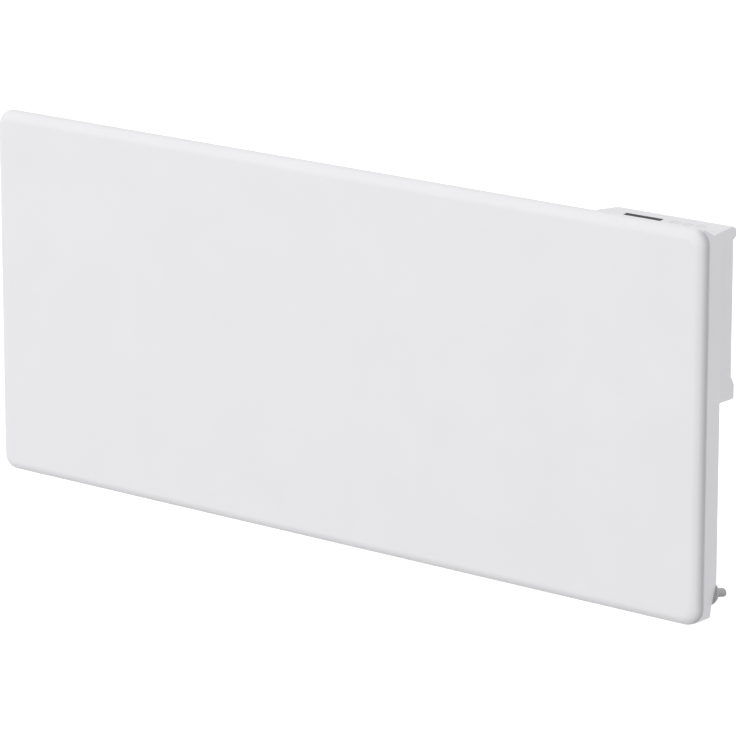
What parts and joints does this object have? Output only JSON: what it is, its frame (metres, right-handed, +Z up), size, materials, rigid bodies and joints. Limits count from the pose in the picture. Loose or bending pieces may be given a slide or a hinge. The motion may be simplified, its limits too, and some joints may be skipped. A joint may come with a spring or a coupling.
{
  "type": "wall panel convector heater",
  "caption": "Slim white wall-hung electric panel heater with rounded edges, a rear convector casing, a control box behind one top corner, and a hook-on wall bracket.",
  "frame": {"origin": "centre of the four wall screw holes, on the wall face of the bracket", "axes": "+X to the heater's right seen from the room, +Y towards the wall, +Z up"},
  "size_m": [0.862, 0.0755, 0.372],
  "materials": {
    "panel_paint": "white powder coat, satin",
    "casing_paint": "white powder coat, satin",
    "box_plastic": "fine moulded white plastic",
    "key_plastic": "fine moulded white plastic",
    "display_black": "smoked black window",
    "rocker_black": "black moulded plastic",
    "inner_plastic": "natural moulded plastic",
    "spacer_plastic": "grey-white moulded plastic",
    "galvanised": "galvanised sheet steel",
    "zinc_steel": "zinc-plated steel",
    "fin_aluminium": "extruded aluminium",
    "tube_steel": "stainless tube, heat-darkened",
    "ceramic": "off-white ceramic",
    "bush_silicone": "brick-red silicone",
    "inlet_rubber": "black rubber",
    "phenolic": "black phenolic moulding",
    "brass": "plain brass",
    "lead_brown": "brown silicone insulation",
    "lead_white": "white silicone insulation",
    "lead_earth": "green and yellow insulation",
    "lead_grey": "grey insulation",
    "board_green": "green fibreglass board"
  },
  "bodies": {
    "wall_bracket": {"wall_rail_left": "galvanised", "wall_rail_right": "galvanised", "wall_crossbar": "galvanised", "crossbar_rivets": "zinc_steel", "lock_pivots": "zinc_steel"},
    "heater": {"front_panel": "panel_paint", "rear_casing": "casing_paint", "panel_screws": "zinc_steel", "element_body": "fin_aluminium", "element_tube": "tube_steel", "terminal_insulators": "ceramic", "terminal_pins": "zinc_steel", "element_support_left": "galvanised", "element_support_right": "galvanised", "element_bushes": "bush_silicone", "heat_shield": "galvanised", "shield_posts": "zinc_steel", "post_screws": "zinc_steel", "bracket_screws": "zinc_steel", "cutout_bracket": "galvanised", "overheat_cutout": "phenolic", "lead_connectors": "inner_plastic", "lead_live": "lead_brown", "lead_link": "lead_brown", "lead_return": "lead_white", "lead_earth": "lead_earth", "lead_sensor": "lead_grey", "lead_clips": "inner_plastic", "earth_stud": "zinc_steel", "earth_tag": "brass", "earth_nut": "zinc_steel", "sensor_holder": "inner_plastic", "room_sensor": "tube_steel", "control_box_cover": "box_plastic", "control_box_base": "box_plastic", "box_screws": "zinc_steel", "display_window": "display_black", "display_module": "phenolic", "control_board": "board_green", "board_screws": "zinc_steel", "key_switches": "phenolic", "power_board": "board_green", "board_header": "inner_plastic", "supply_module": "phenolic", "relay": "phenolic", "fuse": "ceramic", "terminal_block": "inner_plastic", "board_link": "lead_grey", "power_switch_body": "phenolic", "supply_leads": "lead_brown", "cable_inlet": "inlet_rubber", "lock_catches": "casing_paint", "wall_spacer_left": "spacer_plastic", "wall_spacer_right": "spacer_plastic"},
    "rail_lock_left": {"rail_lock_left": "spacer_plastic"},
    "rail_lock_right": {"rail_lock_right": "spacer_plastic"},
    "power_rocker": {"power_rocker": "rocker_black"},
    "key_minus": {"key_minus": "key_plastic"},
    "key_plus": {"key_plus": "key_plastic"},
    "key_mode": {"key_mode": "key_plastic"}
  },
  "joints": [
    {"name": "heater_lift", "type": "slide", "parent": "wall_bracket", "child": "heater", "axis": [0, 0, 1], "range_m": [0, 0.01]},
    {"name": "lock_left_turn", "type": "hinge", "parent": "wall_bracket", "child": "rail_lock_left", "pos_m": [-0.21, -0.0105, 0.086], "axis": [0, 1, 0], "range_deg": [-90, 0]},
    {"name": "lock_right_turn", "type": "hinge", "parent": "wall_bracket", "child": "rail_lock_right", "pos_m": [0.21, -0.0105, 0.086], "axis": [0, -1, 0], "range_deg": [-90, 0]},
    {"name": "rocker_tip", "type": "hinge", "parent": "heater", "child": "power_rocker", "pos_m": [0.38, -0.0131, -0.037], "axis": [0, 1, 0], "range_deg": [-16, 0]},
    {"name": "key_minus_press", "type": "slide", "parent": "heater", "child": "key_minus", "axis": [0, 0.1115, -0.9938], "range_m": [0, 0.0006], "stiffness_N_per_m": 1500},
    {"name": "key_plus_press", "type": "slide", "parent": "heater", "child": "key_plus", "axis": [0, 0.1115, -0.9938], "range_m": [0, 0.0006], "stiffness_N_per_m": 1500},
    {"name": "key_mode_press", "type": "slide", "parent": "heater", "child": "key_mode", "axis": [0, 0.1115, -0.9938], "range_m": [0, 0.0006], "stiffness_N_per_m": 1500}
  ]
}
